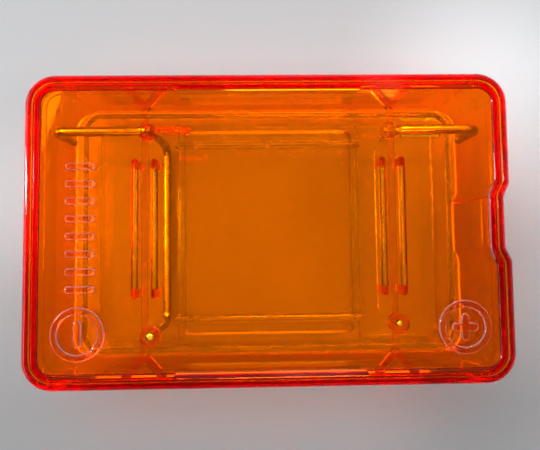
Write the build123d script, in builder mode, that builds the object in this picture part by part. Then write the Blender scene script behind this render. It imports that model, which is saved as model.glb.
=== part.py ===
from build123d import *
from itertools import product
from math import atan2, degrees
import os

# Small gel electrophoresis tank: a clear buffer tank with a lift-out gel tray, under a
# transparent cover that carries both electrodes. +X points to the anode end, +Y to the side
# that the contact legs are on, +Z up. The origin is on the bench, under the cover's centre.

# ----------------------------------------------------------------------- cover, outside (mm)
cover_length = 148.0
cover_width = 95.0
cover_height = 32.0
corner_radius = 9.3
wall = 2.8
plate_thickness = 2.5
plate_top = 30.9  # the plate sits a little below the rim
plate_bottom = plate_top - plate_thickness
foot_edge = 0.4  # rounding of the wall's foot
overlap = 0.2  # what is added to the moulding reaches this far into it
same_level = 0.01  # faces within this height of each other count as level

# rim round the plate: an outer bead, a narrow groove and a lower inner bead
outer_bead = 2.4
groove_width = 0.7
groove_bottom = 31.2
inner_bead = 1.8
inner_bead_top = 31.75
rim_width = outer_bead + groove_width + inner_bead
outer_bead_round = 1.6
inner_bead_round = 0.6
groove_round = 0.25
inner_corner_round = 1.2

# notch in the anode end wall, for locating the cover the right way round
notch_centre_y = 1.2
notch_depth = 1.9
notch_flat = 15.4
notch_length = 23.7
notch_round = 1.4

# shallow finger recess in the middle of each long side
recess_floor = 30.35
recess_half_length_rim = 29.5
recess_half_length_plate = 26.4
recess_inner_y = 40.0
recess_slope = 2.0
recess_slope_top = 31.6

# ----------------------------------------------------------------------- cover, underside
rib_x = 38.2
rib_thickness = 1.8
rib_depth = 0.8
rib_bottom = plate_bottom - rib_depth
fork_depth = 1.5
fork_bottom = plate_bottom - fork_depth
rib_half_length = 37.9
fork_spread = 6.1
fork_leg = 2.3
fork_end_y = cover_width / 2 - wall + 2 * overlap
drip_offset = 3.0  # drip grooves run this far each side of a rib
drip_width = 2.1
drip_depth = 1.1
drip_length = 37.0
drip_centre_y = 0.5
peg_length = 3.0  # a solid peg closes both ends of each groove
peg_depth = 5.5

# ----------------------------------------------------------------------- electrodes
rod_radius = 1.5
rod_fit = 0.06  # clearance round the rods in the moulding
arm_z = 26.4
arm_y = 31.0
contact_x = 67.0
contact_bottom = 12.6
bend_radius = 4.0
cathode_x = -36.6
crossbar_z = 5.0
cathode_boss_y = -32.4
bore_top = 29.6  # the bores for the rod's end and the pin stop short of the plate's top
cathode_rod_top = 29.4
anode_x = 39.4
anode_rod_bottom = 19.0
anode_boss_y = -29.5
rod_tip_round = 0.3
rod_end_round = 1.1  # the ends that stand in the plate are domed
boss_radius = 3.1
boss_depth = 2.2
boss_bottom = plate_bottom - boss_depth
boss_dish_radius = 2.6
boss_dish_depth = 0.4
wire_radius = 0.2
wire_bend = 2.5
wire_fit = 0.05
crimp_radius = 1.0
crimp_length = 4.5
pin_radius = 1.0
pin_bottom = 21.5
pin_top = 29.4
pin_end_round = 0.7
flute_width = 1.6  # two flutes in the underside, one each side of the anode arm
flute_offset = 2.5
flute_x = (41.0, 53.5)
flute_depth = 1.3
bond_radius = 2.9  # adhesive that holds each rod in its rib
bond_z = 25.4
bond_gap = 0.03
bond_bead_radius = 1.2
bond_bead_pitch = 1.5
bond_bead_count = 7
bond_run_x = -34.6
bond_run_z = 27.5

# ----------------------------------------------------------------------- marks on the plate
mark_height = 0.8
mark_round = 0.7
minus_centre = (-57.6, -31.0)
plus_centre = (58.7, -30.5)
mark_ring_outer = 8.1
mark_ring_inner = 5.9
mark_bar_length = 8.2
mark_bar_width = 2.6
grip_centre = (-57.1, 0.8)
grip_bar_length = 9.0
grip_bar_width = 2.2
grip_bar_count = 8
grip_bar_pitch = 5.3
witness_centre = (62.0, 37.0)
witness_radius = 2.7
witness_depth = 0.15

# ----------------------------------------------------------------------- buffer tank
tank_length = 127.0
tank_width = 82.0
tank_height = 14.0
tank_corner = 6.5
tank_wall = 2.0
tank_floor = 2.0
tank_lip = 0.9  # the rim stands proud of the wall by this much
tank_lip_height = 1.8
bed_half_length = 32.5
bed_top = 6.5
tank_floor_round = 0.8
tank_lip_round = 0.5
rail_height = 1.4
rail_width = 1.5
rail_half_length = 26.0
rail_gap = 0.5

# ----------------------------------------------------------------------- gel tray
tray_length = 64.0
tray_width = 62.0
tray_floor = 2.0
tray_wall = 2.0
tray_height = 7.6
tray_corner = 1.0
tray_round = 0.5
tray_foot_height = 0.6  # four small feet keep the tray's floor off the bed
tray_foot_radius = 2.0
tray_foot_inset = 5.0
tray_clearance = 0.03
comb_slot_width = 1.7
comb_slot_depth = 3.5
comb_slot_x = (-25.0, 0.0)

os.makedirs("parts", exist_ok=True)


# =============================================================================== helpers
def write_part(builder, name):
    """Label a finished piece and write its STEP file."""
    builder.part.label = name
    export_step(builder.part, f"parts/{name}.step")


def cover_outline(height, inset=0.0):
    """The cover's plan outline at a height, moved inwards from the outside by inset."""
    edge_x = cover_length / 2
    with BuildSketch(Plane.XY.offset(height)) as outline:
        RectangleRounded(cover_length, cover_width, corner_radius)
        with BuildLine():
            Polyline(
                (edge_x, notch_centre_y - notch_length / 2),
                (edge_x - notch_depth, notch_centre_y - notch_flat / 2),
                (edge_x - notch_depth, notch_centre_y + notch_flat / 2),
                (edge_x, notch_centre_y + notch_length / 2),
                close=True,
            )
        make_face(mode=Mode.SUBTRACT)
        notch_corners = outline.vertices().filter_by(
            lambda v: v.X > edge_x - 2 * notch_depth and abs(v.Y - notch_centre_y) < notch_length
        )
        fillet(notch_corners, radius=notch_round)
        if inset:
            offset(amount=-inset, kind=Kind.ARC, mode=Mode.REPLACE)
    return outline.sketch


def flat_face_at(builder, height):
    """The largest level face of a builder's part at a height."""
    level = builder.faces().filter_by(Axis.Z)
    level = level.filter_by_position(Axis.Z, height - same_level, height + same_level)
    return level.sort_by(SortBy.AREA)[-1]


def finger_recess():
    """The space of the finger recess on the +Y side: a flat floor with a slope up to the rim."""
    rim_y = cover_width / 2 - outer_bead - groove_width
    with BuildPart() as recess:
        with BuildSketch(Plane.XY.offset(recess_floor)):
            with BuildLine():
                Polyline(
                    (-recess_half_length_plate, recess_inner_y),
                    (-recess_half_length_rim, rim_y),
                    (recess_half_length_rim, rim_y),
                    (recess_half_length_plate, recess_inner_y),
                    close=True,
                )
            make_face()
        extrude(amount=cover_height)
        with BuildSketch(Plane.YZ.offset(-cover_length / 2)):
            with BuildLine():
                Polyline(
                    (rim_y - recess_slope, recess_floor),
                    (rim_y, recess_slope_top),
                    (rim_y, recess_floor),
                    close=True,
                )
            make_face()
        extrude(amount=cover_length, mode=Mode.SUBTRACT)
    return recess.part


def round_bar(route, bar_radius, bend):
    """A round bar along a route of corner points, each corner bent to the same radius."""
    with BuildLine() as path:
        FilletPolyline(*route, radius=bend)
    with BuildPart() as bar:
        with BuildSketch(Plane(origin=path.line @ 0, z_dir=path.line % 0)):
            Circle(bar_radius)
        sweep(path=path.line)
    return bar.part


cathode_route = [
    (-contact_x, arm_y, contact_bottom),
    (-contact_x, arm_y, arm_z),
    (cathode_x, arm_y, arm_z),
    (cathode_x, arm_y, crossbar_z),
    (cathode_x, cathode_boss_y, crossbar_z),
    (cathode_x, cathode_boss_y, cathode_rod_top),
]
anode_route = [
    (contact_x, arm_y, contact_bottom),
    (contact_x, arm_y, arm_z),
    (anode_x, arm_y, arm_z),
    (anode_x, arm_y, anode_rod_bottom),
]
wire_route = [
    (anode_x, arm_y, anode_rod_bottom),
    (anode_x, arm_y, crossbar_z),
    (anode_x, anode_boss_y, crossbar_z),
    (anode_x, anode_boss_y, pin_bottom),
]

# =============================================================================== cover shell
with BuildPart() as cover_shell:
    # block, hollowed from below and recessed from above
    extrude(cover_outline(0), amount=cover_height)
    extrude(cover_outline(0, wall), amount=plate_bottom, mode=Mode.SUBTRACT)
    fillet(flat_face_at(cover_shell, plate_bottom).edges(), radius=inner_corner_round)
    extrude(cover_outline(plate_top, rim_width), amount=cover_height, mode=Mode.SUBTRACT)

    # the inner bead is lower than the outer one, and a groove parts them
    extrude(cover_outline(inner_bead_top, outer_bead), amount=cover_height, mode=Mode.SUBTRACT)
    groove = cover_outline(groove_bottom, outer_bead) - cover_outline(
        groove_bottom, outer_bead + groove_width
    )
    extrude(groove, amount=cover_height, mode=Mode.SUBTRACT)
    fillet(flat_face_at(cover_shell, cover_height).outer_wire().edges(), radius=outer_bead_round)
    fillet(flat_face_at(cover_shell, cover_height).inner_wires()[0].edges(), radius=groove_round)
    fillet(flat_face_at(cover_shell, inner_bead_top).outer_wire().edges(), radius=groove_round)
    inner_bead_edge = flat_face_at(cover_shell, inner_bead_top).inner_wires()[0].edges()
    fillet(inner_bead_edge, radius=inner_bead_round)
    fillet(flat_face_at(cover_shell, 0).outer_wire().edges(), radius=foot_edge)
    fillet(flat_face_at(cover_shell, 0).inner_wires()[0].edges(), radius=foot_edge)

    # finger recesses
    add(finger_recess(), mode=Mode.SUBTRACT)
    add(finger_recess().mirror(Plane.XZ), mode=Mode.SUBTRACT)

    # cross ribs, each with a forked end at both long walls
    fork_run = fork_end_y - rib_half_length
    fork_length = (fork_run**2 + fork_spread**2) ** 0.5
    fork_angle = degrees(atan2(fork_run, fork_spread))
    with BuildSketch(Plane.XY.offset(rib_bottom)):
        with Locations((-rib_x, 0), (rib_x, 0)):
            Rectangle(rib_thickness, 2 * rib_half_length)
    extrude(amount=rib_depth + overlap)
    with BuildSketch(Plane.XY.offset(fork_bottom)):
        for x, side, lean in product((-rib_x, rib_x), (-1, 1), (-1, 1)):
            with Locations((x + lean * fork_spread / 2, side * (rib_half_length + fork_run / 2))):
                Rectangle(fork_length, fork_leg, rotation=side * lean * fork_angle)
    extrude(amount=fork_depth + overlap)

    # bosses for the ends of both electrodes
    with BuildSketch(Plane.XY.offset(boss_bottom)):
        with Locations((cathode_x, cathode_boss_y), (anode_x, anode_boss_y)):
            Circle(boss_radius)
    extrude(amount=boss_depth + overlap)

    # pegs at the ends of the drip grooves
    drip_lines = [x + s * drip_offset for x in (-rib_x, rib_x) for s in (-1, 1)]
    with BuildSketch(Plane.XY.offset(plate_bottom - peg_depth)):
        with Locations(*[(x, drip_centre_y) for x in drip_lines]):
            SlotOverall(drip_length + 2 * peg_length, drip_width, rotation=90)
            Rectangle(drip_width, drip_length, mode=Mode.SUBTRACT)
    extrude(amount=peg_depth + overlap)

    # round-bottomed drip grooves in the underside of the plate
    drip_radius = drip_width / 2
    with BuildSketch(Plane.XZ.offset(-drip_centre_y)):
        with Locations(*[(x, plate_bottom + drip_depth - drip_radius) for x in drip_lines]):
            Circle(drip_radius)
            Rectangle(drip_width, drip_depth, align=(Align.CENTER, Align.MAX))
    extrude(amount=drip_length / 2, both=True, mode=Mode.SUBTRACT)

    # flutes beside the anode arm
    with BuildSketch(Plane.XY.offset(plate_bottom)):
        with Locations(*[(sum(flute_x) / 2, arm_y + s * flute_offset) for s in (-1, 1)]):
            SlotOverall(flute_x[1] - flute_x[0], flute_width)
    extrude(amount=flute_depth, mode=Mode.SUBTRACT)

    # blind bores for the rod and the pin, with a shallow round dish above each
    with BuildSketch(Plane.XY.offset(boss_bottom)):
        with Locations((cathode_x, cathode_boss_y)):
            Circle(rod_radius + rod_fit)
        with Locations((anode_x, anode_boss_y)):
            Circle(pin_radius + rod_fit)
    extrude(amount=bore_top - boss_bottom, mode=Mode.SUBTRACT)
    with BuildSketch(Plane.XY.offset(plate_top - boss_dish_depth)):
        with Locations((cathode_x, cathode_boss_y), (anode_x, anode_boss_y)):
            Circle(boss_dish_radius)
    extrude(amount=cover_height, mode=Mode.SUBTRACT)

    # gap in each rib that its rod drops into
    with BuildSketch(Plane.XY.offset(rib_bottom)):
        with Locations((-rib_x, arm_y), (rib_x, arm_y)):
            Rectangle(2 * rib_thickness, 2 * (rod_radius + rod_fit))
    extrude(amount=rib_depth, mode=Mode.SUBTRACT)

    # polarity marks, grip bars and the ejector witness on the plate
    with BuildSketch(Plane.XY.offset(plate_top - overlap)):
        with Locations(minus_centre, plus_centre):
            Circle(mark_ring_outer)
            Circle(mark_ring_inner, mode=Mode.SUBTRACT)
            SlotOverall(mark_bar_length, mark_bar_width, rotation=90)
        with Locations(plus_centre):
            SlotOverall(mark_bar_length, mark_bar_width)
        with Locations(grip_centre):
            with GridLocations(0, grip_bar_pitch, 1, grip_bar_count):
                SlotOverall(grip_bar_length, grip_bar_width)
    extrude(amount=mark_height + overlap)
    mark_tops = cover_shell.faces().filter_by(Axis.Z).filter_by_position(
        Axis.Z, plate_top + mark_height - same_level, plate_top + mark_height + same_level
    )
    fillet(mark_tops.edges(), radius=mark_round)
    with BuildSketch(Plane.XY.offset(plate_top - witness_depth)):
        with Locations(witness_centre):
            Circle(witness_radius)
    extrude(amount=cover_height, mode=Mode.SUBTRACT)

write_part(cover_shell, "cover_shell")

# =============================================================================== electrodes
with BuildPart() as cathode_rod:
    add(round_bar(cathode_route, rod_radius, bend_radius))
    rod_ends = cathode_rod.faces().filter_by(GeomType.PLANE).sort_by(Axis.Z)
    fillet(rod_ends[0].edges(), radius=rod_tip_round)
    fillet(rod_ends[-1].edges(), radius=rod_end_round)

write_part(cathode_rod, "cathode_rod")

with BuildPart() as anode_rod:
    add(round_bar(anode_route, rod_radius, bend_radius))
    fillet(
        anode_rod.faces().filter_by(GeomType.PLANE).sort_by(Axis.X)[-1].edges(), radius=rod_tip_round
    )

write_part(anode_rod, "anode_rod")

with BuildPart() as anode_wire:
    add(round_bar(wire_route, wire_radius, wire_bend))

write_part(anode_wire, "anode_wire")

with BuildPart() as wire_crimp:
    with BuildSketch(Plane.XY.offset(anode_rod_bottom)):
        with Locations((anode_x, arm_y)):
            Circle(crimp_radius)
            Circle(wire_radius + wire_fit, mode=Mode.SUBTRACT)
    extrude(amount=-crimp_length)

write_part(wire_crimp, "wire_crimp")

with BuildPart() as anchor_pin:
    with BuildSketch(Plane.XY.offset(pin_bottom)):
        with Locations((anode_x, anode_boss_y)):
            Circle(pin_radius)
    extrude(amount=pin_top - pin_bottom)
    fillet(anchor_pin.edges().sort_by(Axis.Z)[-1], radius=pin_end_round)

write_part(anchor_pin, "anchor_pin")


def bond(route, x, bead_places=()):
    """Adhesive round a rod where it crosses the rib at x, with any small beads beside it."""
    rod_space = round_bar(route, rod_radius + rod_fit, bend_radius)
    with BuildPart() as glue:
        with Locations((x, arm_y, bond_z)):
            Sphere(bond_radius)
        for place in bead_places:
            with Locations((place, arm_y, bond_run_z)):
                Sphere(bond_bead_radius)
        add(rod_space, mode=Mode.SUBTRACT)
        # room for the rib and for the plate above
        with BuildSketch(Plane.XY.offset(rib_bottom - bond_gap)):
            with Locations((x, arm_y)):
                Rectangle(rib_thickness + 2 * bond_gap, 3 * bond_radius)
        extrude(amount=cover_height, mode=Mode.SUBTRACT)
        split(bisect_by=Plane.XY.offset(plate_bottom - bond_gap), keep=Keep.BOTTOM)
    return glue


# a run of small beads squeezed out along the plate beside the cathode rod
cathode_beads = [bond_run_x + i * bond_bead_pitch for i in range(bond_bead_count)]
cathode_bond = bond(cathode_route, -rib_x, cathode_beads)
write_part(cathode_bond, "cathode_bond")

anode_bond = bond(anode_route, rib_x)
write_part(anode_bond, "anode_bond")

# =============================================================================== buffer tank
with BuildPart() as buffer_tank:
    with BuildSketch():
        RectangleRounded(tank_length, tank_width, tank_corner)
    extrude(amount=tank_height)
    with BuildSketch(Plane.XY.offset(tank_height - tank_lip_height)):
        RectangleRounded(tank_length + 2 * tank_lip, tank_width + 2 * tank_lip, tank_corner + tank_lip)
    extrude(amount=tank_lip_height)
    with BuildSketch(Plane.XY.offset(tank_floor)):
        RectangleRounded(tank_length, tank_width, tank_corner)
        offset(amount=-tank_wall, mode=Mode.REPLACE)
    extrude(amount=tank_height, mode=Mode.SUBTRACT)
    fillet(flat_face_at(buffer_tank, tank_floor).edges(), radius=tank_floor_round)
    fillet(flat_face_at(buffer_tank, tank_height).edges(), radius=tank_lip_round)
    # raised bed for the tray, hollow underneath
    with BuildSketch(Plane.XY.offset(tank_floor / 2)):
        Rectangle(2 * bed_half_length, tank_width - tank_wall)
    extrude(amount=bed_top - tank_floor / 2)
    with BuildSketch():
        RectangleRounded(2 * (bed_half_length - tank_wall), tank_width - 4 * tank_wall, tank_wall)
    extrude(amount=bed_top - tank_wall, mode=Mode.SUBTRACT)
    # rails that keep the tray in the middle
    with BuildSketch(Plane.XY.offset(bed_top)):
        with Locations(*[(0, s * (tray_width / 2 + rail_gap + rail_width / 2)) for s in (-1, 1)]):
            SlotOverall(2 * rail_half_length, rail_width)
    extrude(amount=rail_height)

write_part(buffer_tank, "buffer_tank")

# =============================================================================== gel tray
tray_base = bed_top + tray_clearance + tray_foot_height
with BuildPart() as gel_tray:
    with BuildSketch(Plane.XY.offset(tray_base)):
        RectangleRounded(tray_length, tray_width, tray_corner)
    extrude(amount=tray_height)
    with BuildSketch(Plane.XY.offset(tray_base + tray_floor)):
        Rectangle(2 * tray_length, tray_width - 2 * tray_wall)
    extrude(amount=tray_height, mode=Mode.SUBTRACT)
    with BuildSketch(Plane.XY.offset(tray_base)):
        with GridLocations(tray_length - 2 * tray_foot_inset, tray_width - 2 * tray_foot_inset, 2, 2):
            Circle(tray_foot_radius)
    extrude(amount=-tray_foot_height)
    # comb slots in both side walls
    with BuildSketch(Plane.XY.offset(tray_base + tray_height - comb_slot_depth)):
        with Locations(*[(x, 0) for x in comb_slot_x]):
            Rectangle(comb_slot_width, 2 * tray_width)
    extrude(amount=tray_height, mode=Mode.SUBTRACT)
    fillet(
        gel_tray.edges().filter_by(Axis.X).group_by(Axis.Z)[-1], radius=tray_round
    )

write_part(gel_tray, "gel_tray")
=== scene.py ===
"""Finishes, bench, light and camera for a small gel electrophoresis tank."""

import logging
import math
from dataclasses import dataclass, field
from enum import Enum

import bpy
from mathutils import Euler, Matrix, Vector


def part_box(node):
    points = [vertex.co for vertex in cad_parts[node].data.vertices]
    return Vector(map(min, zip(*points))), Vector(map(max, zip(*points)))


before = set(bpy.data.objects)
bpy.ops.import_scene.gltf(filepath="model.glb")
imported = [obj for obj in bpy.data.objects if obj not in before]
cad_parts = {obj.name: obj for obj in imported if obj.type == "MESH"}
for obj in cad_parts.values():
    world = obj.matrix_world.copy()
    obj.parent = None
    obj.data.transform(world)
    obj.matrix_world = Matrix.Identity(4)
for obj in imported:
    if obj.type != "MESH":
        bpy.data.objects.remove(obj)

logging.basicConfig(level=logging.INFO, format="%(levelname)s %(message)s")
log = logging.getLogger("gel_tank")

MM = 0.001
Colour = tuple[float, float, float]
Range = tuple[float, float]
NONE_TO_ALL: Range = (0.0, 1.0)
ALL_TO_NONE: Range = (1.0, 0.0)
THROUGH_BOUNCES = 32
MIRROR_BOUNCES = 8


class Grain(Enum):
    """Which way a surface's fine marks run."""

    ANY = (1.0, 1.0, 1.0)
    ALONG_X = (0.04, 1.0, 1.0)
    ALONG_Y = (1.0, 0.04, 1.0)


class Graph:
    """A material's node tree, with short calls for the nodes that the finishes use."""

    def __init__(self, name: str) -> None:
        """Start an empty material.

        Args:
            name: the material's name.
        """
        self.material = bpy.data.materials.new(name)
        self.material.use_nodes = True
        self.tree = self.material.node_tree
        self.tree.nodes.clear()
        self.out = self.tree.nodes.new("ShaderNodeOutputMaterial")

    def node(self, kind: str, **settings: object) -> bpy.types.Node:
        """Add a node.

        Args:
            kind: the node's type name, without the ShaderNode prefix.
            settings: attributes to set on it.

        Returns:
            The new node.
        """
        made = self.tree.nodes.new("ShaderNode" + kind)
        for name, value in settings.items():
            setattr(made, name, value)
        return made

    def link(self, source: bpy.types.NodeSocket, target: bpy.types.NodeSocket) -> None:
        """Join two sockets.

        Args:
            source: the output.
            target: the input.
        """
        self.tree.links.new(source, target)

    def place(self, grain: Grain, scale: float) -> bpy.types.NodeSocket:
        """Object coordinates in metres, stretched along the grain.

        Args:
            grain: which way the marks run.
            scale: marks per metre.

        Returns:
            The vector output.
        """
        where = self.node("TexCoord")
        stretch = self.node("Mapping")
        stretch.inputs["Scale"].default_value = [scale * axis for axis in grain.value]
        self.link(where.outputs["Object"], stretch.inputs["Vector"])
        return stretch.outputs["Vector"]

    def noise(self, grain: Grain, scale: float, detail: float) -> bpy.types.NodeSocket:
        """Noise over the surface.

        Args:
            grain: which way it runs.
            scale: blotches per metre.
            detail: octaves.

        Returns:
            The noise value's output.
        """
        pattern = self.node("TexNoise")
        pattern.inputs["Scale"].default_value = 1.0
        pattern.inputs["Detail"].default_value = detail
        self.link(self.place(grain, scale), pattern.inputs["Vector"])
        return pattern.outputs["Fac"]

    def times(self, one: bpy.types.NodeSocket, other: bpy.types.NodeSocket) -> bpy.types.NodeSocket:
        """Multiply two values.

        Args:
            one: a value's output.
            other: the other value's output.

        Returns:
            The product's output.
        """
        product = self.node("Math", operation="MULTIPLY")
        self.link(one, product.inputs[0])
        self.link(other, product.inputs[1])
        return product.outputs[0]

    def spread(
        self,
        value: bpy.types.NodeSocket,
        low: Range,
        high: Range,
        smooth: bool = False,
    ) -> bpy.types.NodeSocket:
        """Map a value from one range to another.

        Args:
            value: the value's output.
            low: the range read.
            high: the range given.
            smooth: whether the change starts and ends gently.

        Returns:
            The mapped value's output.
        """
        ramp = self.node("MapRange", interpolation_type="SMOOTHSTEP" if smooth else "LINEAR")
        for socket, number in zip(("From Min", "From Max", "To Min", "To Max"), (*low, *high)):
            ramp.inputs[socket].default_value = number
        self.link(value, ramp.inputs["Value"])
        return ramp.outputs["Result"]

    def bump(
        self, height: bpy.types.NodeSocket, depth: float, before: bpy.types.NodeSocket | None = None
    ) -> bpy.types.NodeSocket:
        """Turn a height into a bent normal.

        Args:
            height: the height's output, from 0 to 1.
            depth: what a height of 1 stands for, in metres.
            before: the normal that it bends further, if any.

        Returns:
            The normal's output.
        """
        relief = self.node("Bump")
        relief.inputs["Distance"].default_value = depth
        relief.inputs["Strength"].default_value = 1.0
        self.link(height, relief.inputs["Height"])
        if before is not None:
            self.link(before, relief.inputs["Normal"])
        return relief.outputs["Normal"]


@dataclass(frozen=True)
class MarkEdgeHighlight:
    """Raised marks whose sloping edges get a painted highlight: a diffuse white that takes some of the
    see-through away, in patches.

    Args:
        lowest: the height that the marks rise from, in metres.
        half_length: how far from the middle marks can lie along X, in metres.
        half_width: how far from the middle marks can lie along Y, in metres.
        highlight_strength: how much of the see-through is lost on the steepest edge.
        slope: the upward part of the normal where the painted highlight starts and where it is full.
        patches: how many patches of the painted highlight there are to a metre.
        patch_range: the part of the patches' noise that is read.
        patch_strength: least and most strength of the painted highlight in a patch.
        edge: how softly the marked area starts and ends, in metres.
    """

    lowest: float
    half_length: float
    half_width: float
    highlight_strength: float = 0.26
    slope: Range = (0.97, 0.55)
    patches: float = 1400.0
    patch_range: Range = (0.35, 0.6)
    patch_strength: Range = (0.55, 1.0)
    edge: float = 1e-4


@dataclass(frozen=True)
class ClearMoulding:
    """A polished see-through plastic whose colour comes from the depth of it that light crosses.

    Args:
        name: the material's name.
        absorbed: how much red, green and blue a metre takes off.
        ior: its refractive index.
        roughness: lowest and highest roughness.
        lumps: how many swells of the surface there are to a metre.
        waviness: depth of those swells, in metres.
        scratch: depth of the hairline scratches, in metres.
        edge_highlight: where raised marks get a painted highlight on their sloping edges, if anywhere.
        smudges: how many smudges there are to a metre.
        smudge_range: the part of the smudges' noise that is read.
        hairlines: how many hairline scratches there are to a metre.
        hairline_range: the part of the hairlines' noise that is read.
    """

    name: str
    absorbed: Colour
    ior: float = 1.55
    roughness: Range = (0.0, 0.05)
    lumps: float = 140.0
    waviness: float = 8e-6
    scratch: float = 1.2e-6
    edge_highlight: MarkEdgeHighlight | None = None
    smudges: float = 55.0
    smudge_range: Range = (0.45, 0.75)
    hairlines: float = 2600.0
    hairline_range: Range = (0.55, 0.8)

    def material(self) -> bpy.types.Material:
        """Build the material.

        Returns:
            The finished material.
        """
        graph = Graph(self.name)
        surface = graph.node("BsdfPrincipled")
        surface.inputs["Base Color"].default_value = (1.0, 1.0, 1.0, 1.0)
        surface.inputs["Transmission Weight"].default_value = 1.0
        surface.inputs["IOR"].default_value = self.ior
        smudges = graph.noise(Grain.ANY, self.smudges, detail=3.0)
        graph.link(graph.spread(smudges, self.smudge_range, self.roughness), surface.inputs["Roughness"])
        flow = graph.noise(Grain.ANY, self.lumps, detail=1.0)
        hairlines = graph.noise(Grain.ALONG_Y, self.hairlines, detail=2.0)
        bent = graph.bump(flow, self.waviness)
        scratches = graph.spread(hairlines, self.hairline_range, NONE_TO_ALL)
        bent = graph.bump(scratches, self.scratch, bent)
        graph.link(bent, surface.inputs["Normal"])
        # Painted highlight: the marks' sloping edges lose some see-through and show the white base
        # colour.
        if self.edge_highlight is not None:
            clear = self.clearness(graph, self.edge_highlight)
            graph.link(clear, surface.inputs["Transmission Weight"])
        depth = graph.node("VolumeAbsorption")
        strongest = max(self.absorbed)
        depth.inputs["Density"].default_value = strongest
        depth.inputs["Color"].default_value = [1.0 - a / strongest for a in self.absorbed] + [1.0]
        graph.link(surface.outputs["BSDF"], graph.out.inputs["Surface"])
        graph.link(depth.outputs["Volume"], graph.out.inputs["Volume"])
        return graph.material

    def clearness(self, graph: Graph, marks: MarkEdgeHighlight) -> bpy.types.NodeSocket:
        """How see-through the surface is: fully, but for the sloping edges of raised marks, which carry
        a painted highlight.

        Args:
            graph: the material's nodes.
            marks: where the marks lie.

        Returns:
            The output of a value that is 1 where the surface is clear.
        """
        where = graph.node("SeparateXYZ")
        graph.link(graph.node("TexCoord").outputs["Object"], where.inputs[0])
        tilt = graph.node("SeparateXYZ")
        graph.link(graph.node("NewGeometry").outputs["Normal"], tilt.inputs[0])
        pale = graph.spread(tilt.outputs["Z"], marks.slope, (0.0, marks.highlight_strength), smooth=True)
        patches = graph.noise(Grain.ANY, marks.patches, detail=2.0)
        pale = graph.times(pale, graph.spread(patches, marks.patch_range, marks.patch_strength))
        start = (marks.lowest, marks.lowest + marks.edge)
        pale = graph.times(pale, graph.spread(where.outputs["Z"], start, NONE_TO_ALL))
        for axis, reach in (("X", marks.half_length), ("Y", marks.half_width)):
            far = graph.node("Math", operation="ABSOLUTE")
            graph.link(where.outputs[axis], far.inputs[0])
            stop = (reach, reach + marks.edge)
            pale = graph.times(pale, graph.spread(far.outputs[0], stop, ALL_TO_NONE))
        return graph.spread(pale, NONE_TO_ALL, ALL_TO_NONE)


@dataclass(frozen=True)
class DrawnMetal:
    """Bright drawn wire: long fine lines along it and a little tarnish.

    Args:
        name: the material's name.
        colour: the metal's colour.
        grain: the way the drawing lines run.
        roughness: lowest and highest roughness.
        tarnish: how many tarnished patches there are to a metre.
        tarnish_range: the part of the tarnish noise that is read.
        tarnish_level: how bright a fully tarnished patch is.
        lines: how many drawing lines there are to a metre.
        line_range: the part of the lines' noise that is read.
        line_depth: how deep the lines are, in metres.
    """

    name: str
    colour: Colour
    grain: Grain
    roughness: Range = (0.16, 0.34)
    tarnish: float = 420.0
    tarnish_range: Range = (0.35, 0.7)
    tarnish_level: float = 0.72
    lines: float = 5200.0
    line_range: Range = (0.3, 0.7)
    line_depth: float = 2e-6

    def material(self) -> bpy.types.Material:
        """Build the material.

        Returns:
            The finished material.
        """
        graph = Graph(self.name)
        surface = graph.node("BsdfPrincipled")
        surface.inputs["Metallic"].default_value = 1.0
        tarnish = graph.noise(Grain.ANY, self.tarnish, detail=4.0)
        tint = graph.node("ValToRGB")
        dull, bright = tint.color_ramp.elements
        dull.position, bright.position = self.tarnish_range
        dull.color = [self.tarnish_level * c for c in self.colour] + [1.0]
        bright.color = [*self.colour, 1.0]
        graph.link(tarnish, tint.inputs["Fac"])
        graph.link(tint.outputs["Color"], surface.inputs["Base Color"])
        lines = graph.noise(self.grain, self.lines, detail=3.0)
        graph.link(graph.spread(lines, self.line_range, self.roughness), surface.inputs["Roughness"])
        graph.link(graph.bump(lines, self.line_depth), surface.inputs["Normal"])
        graph.link(surface.outputs["BSDF"], graph.out.inputs["Surface"])
        return graph.material


@dataclass(frozen=True)
class PaintedPool:
    """A soft round patch of the bench's colour made brighter or darker: painted light where level is
    above 1, painted shade where it is below.

    Args:
        centre: where it is on the bench, in metres.
        radius: how far it reaches, in metres.
        level: how bright its middle is, where 1 is no change.
    """

    centre: tuple[float, float]
    radius: float
    level: float


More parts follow.
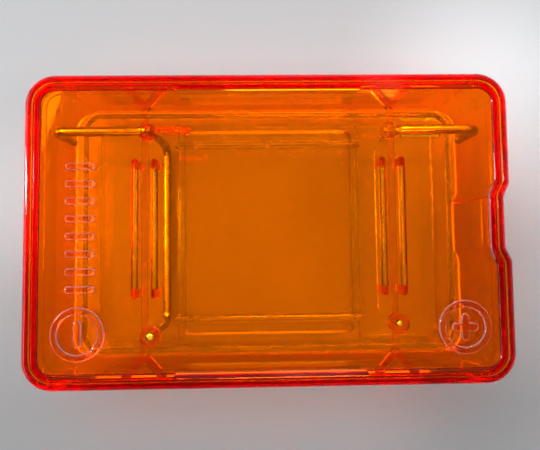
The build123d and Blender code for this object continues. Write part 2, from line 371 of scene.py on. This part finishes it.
@dataclass(frozen=True)
class BenchWithPaintedLight:
    """A pale laminate bench top with painted light in its colour: painted shade darkens it towards the
    near side.

    Args:
        name: the material's name.
        colour: the laminate's colour.
        near: how bright the painted shade leaves the near side, where 1 is the full colour.
        depth: half the run of the change from near to far, in metres.
        roughness: the laminate's roughness.
        mottles: how many faint blotches there are to a metre.
        mottle_range: the part of the blotches' noise that is read.
        mottle_level: how bright the darkest and the palest blotch are.
        painted_pools: painted patches of light and shade.
    """

    name: str = "bench_laminate_painted_light"
    colour: Colour = (0.58, 0.595, 0.61)
    near: float = 0.60
    depth: float = 0.065
    roughness: float = 0.55
    mottles: float = 900.0
    mottle_range: Range = (0.3, 0.7)
    mottle_level: Range = (0.985, 1.0)
    painted_pools: tuple[PaintedPool, ...] = (
        PaintedPool((0.090, 0.055), 0.070, 1.55),
        PaintedPool((-0.085, 0.012), 0.045, 1.30),
        PaintedPool((0.058, -0.005), 0.055, 0.70),
        PaintedPool((0.075, -0.062), 0.050, 0.80),
        PaintedPool((0.020, 0.012), 0.022, 0.86),
        PaintedPool((0.010, -0.020), 0.018, 1.08),
    )

    def material(self) -> bpy.types.Material:
        """Build the material.

        Returns:
            The finished material.
        """
        graph = Graph(self.name)
        surface = graph.node("BsdfPrincipled")
        surface.inputs["Roughness"].default_value = self.roughness
        where = graph.node("TexCoord").outputs["Object"]
        split = graph.node("SeparateXYZ")
        graph.link(where, split.inputs[0])
        # Painted shade: the bench colour dims towards the near side.
        level = graph.spread(split.outputs["Y"], (-self.depth, self.depth), (self.near, 1.0))
        mottle = graph.noise(Grain.ANY, self.mottles, detail=3.0)
        level = graph.times(level, graph.spread(mottle, self.mottle_range, self.mottle_level))
        # Painted pools of light and shade, multiplied into the bench colour.
        for pool in self.painted_pools:
            reach = graph.node("VectorMath", operation="DISTANCE")
            reach.inputs[1].default_value = (*pool.centre, 0.0)
            graph.link(where, reach.inputs[0])
            inside = (0.0, pool.radius)
            soft = graph.spread(reach.outputs["Value"], inside, (pool.level, 1.0), smooth=True)
            level = graph.times(level, soft)
        tint = graph.node("VectorMath", operation="SCALE")
        tint.inputs[0].default_value = self.colour
        graph.link(level, tint.inputs["Scale"])
        graph.link(tint.outputs["Vector"], surface.inputs["Base Color"])
        graph.link(surface.outputs["BSDF"], graph.out.inputs["Surface"])
        return graph.material


def dress(node: str, material: bpy.types.Material) -> None:
    """Give a CAD node its material.

    Args:
        node: the node's name.
        material: what it is made of.
    """
    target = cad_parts[node]
    for slot in range(len(target.data.materials)):
        target.data.materials[slot] = material
    log.info("%s dressed in %s", node, material.name)


@dataclass
class Cover:
    """The tinted cover and the adhesive on its ribs.

    Args:
        plate_below_rim: how far the plate lies below the rim, in metres.
        above_plate: how far above the plate the painted highlight on the marks' edges starts, in metres.
        rim_width: how wide the rim is at the ends, in metres.
        recess_width: how wide the rim and the finger recess are at the sides, in metres.
        cathode_glue: the tinted adhesive on the cathode side.
        anode_glue: the clearer adhesive on the anode side.
    """

    plate_below_rim: float = 1.1 * MM
    above_plate: float = 0.05 * MM
    rim_width: float = 5.5 * MM
    recess_width: float = 8.0 * MM
    cathode_glue: ClearMoulding = field(
        default_factory=lambda: ClearMoulding(
            "tinted_glue", absorbed=(8.0, 620.0, 1700.0), ior=1.5, lumps=1100.0, waviness=3e-4
        )
    )
    anode_glue: ClearMoulding = field(
        default_factory=lambda: ClearMoulding(
            "clear_glue", absorbed=(12.0, 60.0, 160.0), ior=1.5, lumps=700.0, waviness=1.5e-4
        )
    )

    def build(self) -> None:
        """Dress the shell and the adhesive."""
        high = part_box("cover_shell")[1]
        # Painted highlight on the marks' sloping edges, on the plate inside the rim.
        marks = MarkEdgeHighlight(
            lowest=high[2] - self.plate_below_rim + self.above_plate,
            half_length=high[0] - self.rim_width,
            half_width=high[1] - self.recess_width,
        )
        plastic = ClearMoulding("orange_moulding", absorbed=(4.0, 330.0, 2000.0), edge_highlight=marks)
        dress("cover_shell", plastic.material())
        dress("cathode_bond", self.cathode_glue.material())
        dress("anode_bond", self.anode_glue.material())


@dataclass
class Electrodes:
    """Both rods, the fine wire, its crimp and its anchor pin.

    Args:
        steel: the finish of the rods and the pin.
        platinum: the finish of the wire and its crimp.
    """

    steel: DrawnMetal = field(
        default_factory=lambda: DrawnMetal("drawn_steel", (0.62, 0.60, 0.57), Grain.ALONG_X)
    )
    platinum: DrawnMetal = field(
        default_factory=lambda: DrawnMetal("platinum_wire", (0.74, 0.72, 0.68), Grain.ALONG_Y)
    )

    def build(self) -> None:
        """Dress the metal pieces."""
        steel = self.steel.material()
        for node in ("cathode_rod", "anode_rod", "anchor_pin"):
            dress(node, steel)
        platinum = self.platinum.material()
        for node in ("anode_wire", "wire_crimp"):
            dress(node, platinum)


@dataclass
class TankAndTray:
    """The clear buffer tank and the gel tray on its bed.

    Args:
        tank_plastic: the tank's finish.
        tray_plastic: the tray's finish.
    """

    tank_plastic: ClearMoulding = field(
        default_factory=lambda: ClearMoulding(
            "tank_acrylic", absorbed=(7.0, 4.0, 4.5), ior=1.42, roughness=(0.05, 0.12)
        )
    )
    tray_plastic: ClearMoulding = field(
        default_factory=lambda: ClearMoulding(
            "tray_acrylic", absorbed=(5.0, 3.0, 2.0), ior=1.42, roughness=(0.05, 0.12)
        )
    )

    def build(self) -> None:
        """Dress the tank and the tray."""
        dress("buffer_tank", self.tank_plastic.material())
        dress("gel_tray", self.tray_plastic.material())


class LampUse(Enum):
    """What a lamp's light is for."""

    ROOM = "everything but mirror images"
    UNDER_COVER = "only what is seen through the plastic"
    GLINT = "only mirror images on glossy faces"


@dataclass(frozen=True)
class Lamp:
    """A soft rectangular lamp that points at the middle of the cover.

    Args:
        name: the lamp's name.
        place: where it hangs, in metres.
        size: its width and depth, in metres.
        power: its power in watts.
        use: what its light is for.
    """

    name: str
    place: tuple[float, float, float]
    size: tuple[float, float]
    power: float
    use: LampUse

    def hang(self) -> None:
        """Put the lamp in the room."""
        light = bpy.data.lights.new(self.name, "AREA")
        light.shape = "RECTANGLE"
        light.size, light.size_y = self.size
        light.energy = self.power
        holder = bpy.data.objects.new(self.name, light)
        holder.location = self.place
        holder.rotation_mode = "QUATERNION"
        aim = Vector((0.0, 0.0, 0.0)) - Vector(self.place)
        holder.rotation_quaternion = aim.to_track_quat("-Z", "Y")
        holder.visible_glossy = self.use is LampUse.GLINT
        holder.visible_diffuse = self.use is LampUse.ROOM
        holder.visible_transmission = self.use is not LampUse.GLINT
        holder.visible_camera = False
        bpy.context.scene.collection.objects.link(holder)


@dataclass
class Studio:
    """Bench, sky and camera.

    Args:
        bench_size: the bench top's side, in metres.
        bench_top: the height of its face, just under the object's foot, in metres.
        sky_levels: how bright the sky is at each height above the horizon, up to 1 straight above.
        near_to_far: where along Y the sky's direction stops and starts to be dimmed.
        near_sky: how bright the sky is on the near side, in front of whoever looks.
        far_sky: how bright it is everywhere else.
        camera_place: where the camera hangs, in metres.
        tilt_to_far: how far it leans towards the far side, in degrees.
        tilt_to_right: how far it leans to the right, in degrees.
        roll: how far it turns about its own line of sight, in degrees.
        lens: its focal length in millimetres.
        sensor: the width of its sensor in millimetres.
        sight: the nearest and the farthest that it sees, in metres.
        lamps: the lamps in the room.
    """

    bench_size: float = 3.0
    bench_top: float = -0.02 * MM
    sky_levels: tuple[Range, ...] = ((0.0, 0.6), (0.30, 0.7), (0.60, 0.7), (0.80, 0.05), (1.0, 0.015))
    near_to_far: Range = (-0.7, 0.1)
    near_sky: float = 0.12
    far_sky: float = 0.55
    camera_place: tuple[float, float, float] = (-2.3 * MM, -5.0 * MM, 155.4 * MM)
    tilt_to_far: float = 2.75
    tilt_to_right: float = 1.1
    roll: float = -0.7
    lens: float = 27.39
    sensor: float = 36.0
    sight: Range = (0.01, 20.0)
    lamps: tuple[Lamp, ...] = (
        Lamp("ceiling_panel", (0.0, 0.1, 1.4), (2.4, 2.0), 30.0, LampUse.ROOM),
        Lamp("left_fill", (-0.95, 0.3, 0.95), (0.7, 0.7), 48.0, LampUse.UNDER_COVER),
        Lamp("far_fill", (0.2, 0.85, 1.1), (0.7, 0.7), 48.0, LampUse.UNDER_COVER),
        Lamp("near_fill", (0.0, -0.95, 0.55), (0.9, 0.4), 7.0, LampUse.UNDER_COVER),
        Lamp("left_window", (-1.20, 0.21, 0.75), (0.14, 0.90), 10.0, LampUse.GLINT),
        Lamp("left_wall", (-1.25, 0.0, 0.80), (1.4, 0.7), 5.0, LampUse.GLINT),
    )

    def build(self) -> None:
        """Build the bench, the sky, the lamps and the camera."""
        self.bench()
        self.sky()
        for lamp in self.lamps:
            lamp.hang()
        self.camera()

    def bench(self) -> None:
        """Lay the bench top under the object."""
        bpy.ops.mesh.primitive_plane_add(size=self.bench_size, location=(0.0, 0.0, self.bench_top))
        top = bpy.context.object
        top.name = "bench_top"
        top.data.materials.append(BenchWithPaintedLight().material())

    def sky(self) -> None:
        """Soft room light, darker straight above and on the near side, where someone stands."""
        world = bpy.data.worlds.new("soft_room")
        bpy.context.scene.world = world
        world.use_nodes = True
        tree = world.node_tree
        tree.nodes.clear()
        out = tree.nodes.new("ShaderNodeOutputWorld")
        light = tree.nodes.new("ShaderNodeBackground")
        where = tree.nodes.new("ShaderNodeTexCoord")
        split = tree.nodes.new("ShaderNodeSeparateXYZ")
        ramp = tree.nodes.new("ShaderNodeValToRGB")
        while len(ramp.color_ramp.elements) < len(self.sky_levels):
            ramp.color_ramp.elements.new(0.5)
        for element, (height, level) in zip(ramp.color_ramp.elements, self.sky_levels):
            element.position = height
            element.color = (level, level, level, 1.0)
        tree.links.new(where.outputs["Generated"], split.inputs[0])
        tree.links.new(split.outputs["Z"], ramp.inputs["Fac"])
        tree.links.new(ramp.outputs["Color"], light.inputs["Color"])
        dimmed = tree.nodes.new("ShaderNodeMapRange")
        reach = (*self.near_to_far, self.near_sky, self.far_sky)
        for socket, number in zip(("From Min", "From Max", "To Min", "To Max"), reach):
            dimmed.inputs[socket].default_value = number
        tree.links.new(split.outputs["Y"], dimmed.inputs["Value"])
        tree.links.new(dimmed.outputs["Result"], light.inputs["Strength"])
        tree.links.new(light.outputs[0], out.inputs["Surface"])

    def camera(self) -> None:
        """Look straight down from above the plate, a little off the middle."""
        lens = bpy.data.cameras.new("camera")
        lens.lens = self.lens
        lens.sensor_width = self.sensor
        lens.clip_start, lens.clip_end = self.sight
        holder = bpy.data.objects.new("camera", lens)
        holder.location = self.camera_place
        turn = Euler((math.radians(self.tilt_to_far), math.radians(-self.tilt_to_right), 0.0), "XYZ")
        spin = Euler((0.0, 0.0, math.radians(self.roll)), "XYZ")
        holder.rotation_mode = "QUATERNION"
        holder.rotation_quaternion = turn.to_quaternion() @ spin.to_quaternion()
        bpy.context.scene.collection.objects.link(holder)
        bpy.context.scene.camera = holder


def main() -> None:
    """Build every sub-assembly and the room round them."""
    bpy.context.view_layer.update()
    Cover().build()
    Electrodes().build()
    TankAndTray().build()
    Studio().build()
    scene = bpy.context.scene
    scene.view_settings.view_transform = "Standard"
    scene.cycles.max_bounces = THROUGH_BOUNCES
    scene.cycles.transmission_bounces = THROUGH_BOUNCES
    scene.cycles.glossy_bounces = MIRROR_BOUNCES


if __name__ == "__main__":
    main()
